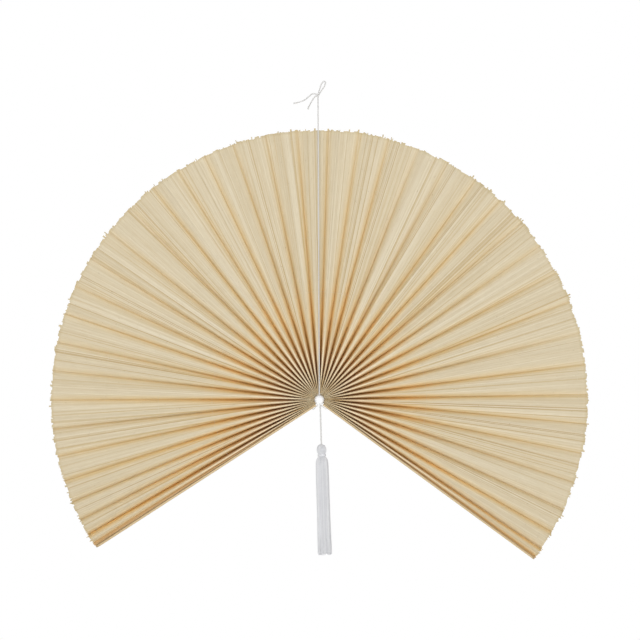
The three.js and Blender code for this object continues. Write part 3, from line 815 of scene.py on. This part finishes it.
# Guards
def make_guard(name, body, line, material):
    """The lath with its edges eased, and grain that runs along it."""
    piece = add_object(f"{name}_lath", frame["nodes"][name].data.copy())
    weld = piece.modifiers.new("weld", "WELD")
    weld.merge_threshold = 0.01 * MM
    bevel = piece.modifiers.new("ease", "BEVEL")
    bevel.width = GUARD_EASE
    bevel.segments = 3
    bevel.limit_method = "ANGLE"
    bevel.angle_limit = math.radians(50)
    bevel.harden_normals = True
    evaluated = piece.evaluated_get(bpy.context.evaluated_depsgraph_get())
    eased = bpy.data.meshes.new_from_object(evaluated)
    piece.modifiers.clear()
    piece.data = eased
    eased.materials.clear()
    eased.materials.append(material)
    along = upright(unit(RIM_POINTS[line] - HUB_POINTS[line]))
    across = np.cross(along, (0, 1, 0))
    points = np.array([vertex.co for vertex in eased.vertices]) - HUB
    grain = np.stack([points @ across, points @ along, points[:, 1]], axis=1)
    worn = np.clip(np.abs(points[:, 1]) / (MAT_DEPTH / 2) * 4 - 3, 0, 1)
    store(eased, "grain", grain)
    store(eased, "worn", worn)
    shade_smooth(piece, HARD_ANGLE)
    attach(piece, body)
    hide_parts(name)


# Bead
def make_bead(material):
    radius = BEAD_DIAMETER / 2
    bore = CORD_DIAMETER / 2 + CLEARANCE
    lip = 0.5 * MM
    rim = math.acos((bore + lip) / radius)
    profile = [(radius * math.cos(a), radius * math.sin(a)) for a in np.linspace(-rim, rim, 41)]
    top = profile[-1][1]
    lips = [(bore + lip * (1 - math.sin(t)), top - lip * (1 - math.cos(t)) + 0.12 * MM)
            for t in np.linspace(0.3, math.pi / 2, 5)]
    inside = [(bore, top - 2 * MM), (bore, 2 * MM - top)]
    profile = profile + lips + inside + [(r, -z) for r, z in lips[::-1]]
    rings = turned_rings(profile, 64, BEAD)
    build = Build()
    build.strip(np.concatenate([rings, rings[:1]]), caps=False)
    piece = build.piece("hub_bead_polished", material)
    weld_seam(piece)
    shade_smooth(piece, HARD_ANGLE)
    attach(piece, "hub")
    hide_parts("hub_bead")


def weld_seam(piece):
    """Joins the last ring of a closed profile to its first."""
    mesh = bmesh.new()
    mesh.from_mesh(piece.data)
    bmesh.ops.remove_doubles(mesh, verts=mesh.verts, dist=1e-6)
    bmesh.ops.recalc_face_normals(mesh, faces=mesh.faces)
    mesh.to_mesh(piece.data)
    mesh.free()


# Cords
def lean(points, angle):
    """Turns points clockwise about the origin, as seen from the room."""
    x, y, z = np.moveaxis(np.asarray(points, float), -1, 0)
    sine, cosine = math.sin(angle), math.cos(angle)
    return np.stack([x * cosine + z * sine, y, z * cosine - x * sine], axis=-1)


# The tails' routes from the knot, in millimetres, and how high they leave its side
LONG_TAIL_RISE, SHORT_TAIL_RISE = 1.6 * MM, -1.4 * MM
LONG_TAIL = [(-6.5, -0.5, 2.8), (-11, -1.2, 2.2), (-17, -1.8, -2.6), (-25, -2, -9), (-36, -2, -13.2),
             (-45, -2, -15.2)]
SHORT_TAIL = [(-5.6, -0.3, -2.6), (-9, -0.8, -7), (-12.5, -1.2, -13), (-16.5, -1.4, -20), (-18.6, -1.4, -26)]


def yarn_piece(build, name, material, body, node=None):
    """Makes a piece of cord or yarn, which rides on a body and may stand for a node."""
    piece = build.piece(name, material)
    shade_smooth(piece, YARN_ANGLE)
    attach(piece, body)
    if node:
        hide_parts(node)
    return piece


def cord_piece(name, path, diameter, material, node=None, body="hub", fray=0.0):
    build = Build()
    twisted_cord(build, path, diameter, fray)
    return yarn_piece(build, name, material, body, node)


def make_hanging_cord(material):
    low = BEAD + (0, 0, CLEARANCE - BEAD_DIAMETER / 2)
    over = BEAD + (0, 0, BEAD_DIAMETER / 2)
    end = KNOT - (0, 0, KNOT_HEIGHT / 2)
    path = even_path([low, over, end], 700)
    piece = cord_piece("hanging_cord_twist", path, CORD_FLUFF * CORD_DIAMETER, material, "hanging_cord")


def trefoil(size):
    """An overhand knot that faces the room, three sizes in reach from its middle."""
    t = np.linspace(0, 2 * math.pi, 130)
    x = np.sin(t) + 2 * np.sin(2 * t)
    y = -1.5 * np.sin(3 * t)
    z = np.cos(t) - 2 * np.cos(2 * t)
    return size * np.stack([x, y, z], axis=1)


def make_knot(material):
    """A tight overhand knot drawn into the knot's small space."""
    path = trefoil((KNOT_WIDTH - LOOP_CORD_DIAMETER) / 6) * (1, 1, KNOT_HEIGHT / KNOT_WIDTH) + KNOT
    build = Build()
    twisted_cord(build, path, LOOP_CORD_DIAMETER)
    upper = [(0.3 * KNOT_WIDTH, 0), (0.22 * KNOT_WIDTH, 0.25 * KNOT_HEIGHT), (0.1 * MM, 0.36 * KNOT_HEIGHT)]
    core = turned_rings([(radius, -z) for radius, z in upper[:0:-1]] + upper, 16, KNOT)
    build.strip(core, grain=along_grain(core, 0.2), tone=0.4)
    yarn_piece(build, "cord_knot_tied", material, "hub", "cord_knot")


def make_loop(material):
    leg = LOOP_CORD_DIAMETER / 2 + CLEARANCE
    wide = (LOOP_WIDTH - LOOP_CORD_DIAMETER) / 2
    foot = KNOT_HEIGHT / 2 - 0.6 * MM
    crown = KNOT_HEIGHT / 2 + CLEARANCE + LOOP_LENGTH - LOOP_CORD_DIAMETER / 2
    half = [(leg, 0), (leg, 0.12), (0.75 * wide, 0.4), (wide, 0.72), (0.7 * wide, 0.94)]
    right = [(x, 0, foot + rise * (crown - foot)) for x, rise in half]
    left = [(-x, 0, z) for x, _, z in right[::-1]]
    path = smooth_path(KNOT + lean(right + [(0, 0, crown)] + left, LOOP_LEAN), 110)
    piece = cord_piece("hanging_loop_twist", path, LOOP_FLUFF * LOOP_CORD_DIAMETER, material, "hanging_loop")


def make_tail(name, rise, route, material):
    start = (-0.4 * KNOT_WIDTH, 0, rise)
    points = [start] + [tuple(c * MM for c in point) for point in route]
    path = smooth_path(KNOT + np.array(points), 90)
    piece = cord_piece(f"{name}_twist", path, LOOP_FLUFF * LOOP_CORD_DIAMETER, material, name, fray=0.9)


def lacing_point(side, outward):
    """A place on the lacing beside a guard: 0 is at the guard's inner face."""
    line = 0 if side < 0 else PLEATS
    along = unit(RIM_POINTS[line] - HUB_POINTS[line])
    clockwise = np.array([along[1], -along[0]])
    point = HUB_POINTS[line] + along * (LACING_RADIUS - HUB_RADIUS) + clockwise * side * outward
    return upright(point)


def make_lacing_end(name, body, side, material):
    """One end of the lacing, which comes out through a guard and turns in to the bead."""
    reach = BEAD_DIAMETER / 2 + LACING_DIAMETER / 2 + CLEARANCE
    turn = np.array([side * (LACING_SPACING / 2 + LACING_DIAMETER), 0, -LACING_DROP])
    end = unit(turn) * (LACING_KNOT / 2 + CLEARANCE) + (0, HANG_Y + reach, 0)
    hole = lacing_point(side, 0)
    leaves = lacing_point(side, GUARD_THICKNESS + LACING_STAND)
    points = [hole, (hole + leaves) / 2, leaves, (leaves + turn) / 2, turn, (turn + end) / 2, end]
    cord_piece(name, smooth_path(HUB + np.array(points), 80), LACING_DIAMETER, material, body=body)


def make_lacing(material):
    """Both ends of the lacing, and the knot behind the bead where they meet."""
    make_lacing_end("lacing_end_left", "left_guard", -1, material)
    make_lacing_end("lacing_end_right", "right_guard", 1, material)
    knot = BEAD + (0, BEAD_DIAMETER / 2 + LACING_KNOT / 2 + CLEARANCE, 0)
    cord_piece("lacing_knot", knot + trefoil((LACING_KNOT - LACING_DIAMETER) / 6), LACING_DIAMETER, material,
               "lacing_cord")


# Tassel, drawn hanging straight down from its stopper knot and then leaned
HEAD_TOP = -TASSEL_CORD_LENGTH
HEAD_FOOT = HEAD_TOP - HEAD_HEIGHT
SKIRT_TOP = HEAD_FOOT - CLEARANCE
HEAD_PROFILE = ((0.4, 0.02), (0.74, 0.11), (0.95, 0.28), (1.0, 0.46), (0.93, 0.66), (0.78, 0.80), (0.74, 1.0))


def hung(points):
    """Leans tassel points to the right of plumb and sets them under the bead."""
    return TASSEL_TOP + lean(points, -TASSEL_LEAN)


def make_head(material):
    """Strands laid from the crown over the round of the head and down to the neck."""
    build = Build()
    profile = [(HEAD_DIAMETER / 2 * share - HEAD_STRAND, HEAD_TOP - down * HEAD_HEIGHT)
               for share, down in HEAD_PROFILE]
    inside = [(0.2 * MM, HEAD_TOP - 0.8 * MM)] + [(0.94 * r, z - 0.2 * MM) for r, z in profile]
    core = hung(turned_rings(inside, 24))
    build.strip(core[::-1], grain=along_grain(core, 0.4), tone=0.2)
    for k in range(HEAD_STRANDS):
        angle = 2 * math.pi * k / HEAD_STRANDS
        swirl = chance.uniform(-0.03, 0.03)
        points = [about(0.6 * MM, angle, HEAD_TOP - 0.3 * MM)]
        points += [about(reach, angle + swirl * step, z) for step, (reach, z) in enumerate(profile)]
        rings = tube_rings(hung(smooth_path(points, 22)), HEAD_STRAND * chance.uniform(0.88, 1.05), 6)
        build.strip(rings, grain=along_grain(rings, 0.02 * k), tone=chance.uniform(0, 0.5))
    return yarn_piece(build, "tassel_head_strands", material, "tassel", "tassel_head")


def make_neck(material):
    """One thread bound round the neck."""
    build = Build()
    low, high = HEAD_FOOT + NECK_THREAD, HEAD_FOOT + NECK_HEIGHT - NECK_THREAD
    reach = NECK_DIAMETER / 2 + CLEARANCE + NECK_THREAD
    t = np.linspace(0, 1, 40 * NECK_TURNS)
    angle = 2 * math.pi * NECK_TURNS * t
    path = np.stack(about(reach, angle, low + (high - low) * t), axis=1)
    rings = tube_rings(hung(path), NECK_THREAD, 8)
    build.strip(rings, grain=along_grain(rings, 0.1), tone=0.6)
    return yarn_piece(build, "tassel_neck_binding", material, "tassel", "tassel_neck")


def skirt_radius(share):
    """The skirt swells from its shoulder, hangs nearly straight and is a little fuller at the hem."""
    shoulder = SHOULDER_RADIUS + SHOULDER_SWELL * min(share / SHOULDER_END, 1) ** 0.5
    hem = HEM_SWELL * max(0.0, share - HEM_START) / (1 - HEM_START)
    return shoulder + SKIRT_SWELL * min(share / SWELL_END, 1) + hem


def make_skirt(material):
    """Loose strands in three rings round a core of more yarn, with an uneven hem."""
    build = Build()
    core = [(0.2 * MM, SKIRT_TOP - 0.4 * MM)]
    core += [(skirt_radius(s) - SKIRT_CORE, SKIRT_TOP - 0.6 * MM - s * CORE_LENGTH * SKIRT_LENGTH)
             for s in SKIRT_SHARES]
    rings = hung(turned_rings(core, 24))
    build.strip(rings[::-1], grain=along_grain(rings, 0.4), tone=0.1)
    for layer, count in enumerate(SKIRT_COUNTS):
        for k in range(count):
            angle = 2 * math.pi * (k + chance.uniform(-0.3, 0.3)) / count
            notch = math.exp(-(math.sin((angle - NOTCH_ANGLE) / 2) / NOTCH_WIDTH) ** 2)
            length = SKIRT_LENGTH * (1 - HEM_UNEVEN * chance.random() - NOTCH_DEPTH * notch)
            length -= SHORT_STRAND * chance.random() if chance.random() < SHORT_STRAND_SHARE else 0
            sway = [chance.uniform(-1, 1) for _ in range(4)]
            points = []
            for s in SKIRT_SHARES:
                wander = s * (0.05 * sway[0] * math.sin(5 * s + sway[1]) + 0.045 * sway[2] * s)
                reach = skirt_radius(s) - SKIRT_STRAND * (1 + 1.5 * layer) + 0.35 * MM * sway[3] * s
                points.append(about(reach, angle + wander, SKIRT_TOP - s * length))
            path = hung(smooth_path(points, 26))
            taper = np.interp(np.linspace(0, 1, 26), (0, 0.05, 0.97, 1), (0.6, 1, 1, 0.75))
            rings = tube_rings(path, SKIRT_STRAND * taper * chance.uniform(0.85, 1.05), 5)
            build.strip(rings, grain=along_grain(rings, 0.02 * k + layer), tone=chance.random())
    yarn_piece(build, "tassel_skirt_strands", material, "tassel", "tassel_skirt")


def make_tassel(cotton, yarn):
    """The tassel on its cord, with the stopper knot under the bead."""
    head, neck = make_head(yarn), make_neck(yarn)
    make_skirt(yarn)
    points = [(0, 0, 0), (0, 0, HEAD_TOP / 2), (0, 0, HEAD_TOP - 0.6 * MM)]
    path = hung(smooth_path(points, 90))
    wide = TASSEL_CORD_FLUFF * CORD_DIAMETER
    piece = cord_piece("tassel_cord_twist", path, wide, cotton, "tassel_cord", "tassel")
    knot = trefoil((STOPPER_DIAMETER - STOPPER_CORD) / 6)[:, (0, 2, 1)]
    stopper = cord_piece("tassel_stopper_knot", hung(knot), STOPPER_CORD, cotton, body="tassel")


# Floor, light and background
def make_stage():
    front, back = HUB[1] - CAMERA_DISTANCE - FLOOR_MARGIN, HUB[1] + FLOOR_BEHIND
    sides = ((-1, front), (1, front), (1, back), (-1, back))
    corners = [(side * FLOOR_HALF_WIDTH, y, HUB[2] - FLOOR_DROP) for side, y in sides]
    mesh = bpy.data.meshes.new("floor")
    mesh.from_pydata(corners, [], [(0, 1, 2, 3)])
    m = Nodes("pale_floor")
    place = m.add("ShaderNodeTexCoord").outputs["Object"]
    base = m.ramp(m.noise(place, 6.0, 3.0), (0.3, (0.80, 0.80, 0.80)), (0.7, (0.84, 0.84, 0.84)))
    glow = m.span(m.seen_ray(), 0, 1, 0, FLOOR_GLOW)
    material = m.surface(Base_Color=base, Roughness=0.8, Emission_Color=WHITE, Emission_Strength=glow)
    mesh.materials.append(material)
    floor = add_object("floor", mesh)


def area_light(name, place, aim, size, power):
    data = bpy.data.lights.new(name, "AREA")
    data.shape = "RECTANGLE"
    data.size, data.size_y = size
    data.energy = power
    light = add_object(name, data)
    light.location = place
    direction = Vector(aim) - Vector(place)
    light.rotation_euler = direction.to_track_quat("-Z", "Y").to_euler()


def make_light():
    for name, (place, size, power) in LIGHTS.items():
        area_light(name, HUB + place, HUB + (0, 0, LIGHT_AIM), size, power)
    m = Nodes("studio", "worlds")
    bpy.context.scene.world = m.owner
    soft = m.tree.nodes["Background"]
    m.put(soft, "Color", WHITE)
    m.put(soft, "Strength", SOFT_LIGHT)
    white = m.add("ShaderNodeBackground", Color=WHITE, Strength=1.0)
    mix = m.add("ShaderNodeMixShader")
    for key, value in enumerate((m.seen_ray(), soft.outputs[0], white.outputs[0])):
        m.put(mix, key, value)
    m.put(m.tree.nodes["World Output"], "Surface", mix.outputs[0])
    bpy.context.scene.view_settings.view_transform = "Standard"


place_camera()
cord_cotton = cotton_material("cotton_cord", (0.60, 0.59, 0.575), (0.76, 0.75, 0.73))
tassel_cotton = cotton_material("tassel_yarn", (0.74, 0.745, 0.76), (0.86, 0.865, 0.88))
lacing_cotton = cotton_material("lacing_thread", (0.82, 0.81, 0.79), (0.92, 0.91, 0.89))
make_hanging_cord(cord_cotton)
make_knot(cord_cotton)
make_loop(cord_cotton)
make_tail("cord_tail_long", LONG_TAIL_RISE, LONG_TAIL, cord_cotton)
make_tail("cord_tail_short", SHORT_TAIL_RISE, SHORT_TAIL, cord_cotton)
make_tassel(cord_cotton, tassel_cotton)
make_lacing(lacing_cotton)

lath = lath_material()
slat_materials = (bamboo_slat_material(), thread_material(), lath, lacing_cotton)
for number in range(PLEATS):
    make_pleat(number, slat_materials)
make_guard("guard_left", "left_guard", 0, lath)
make_guard("guard_right", "right_guard", PLEATS, lath)
make_bead(bead_material())
make_stage()
make_light()
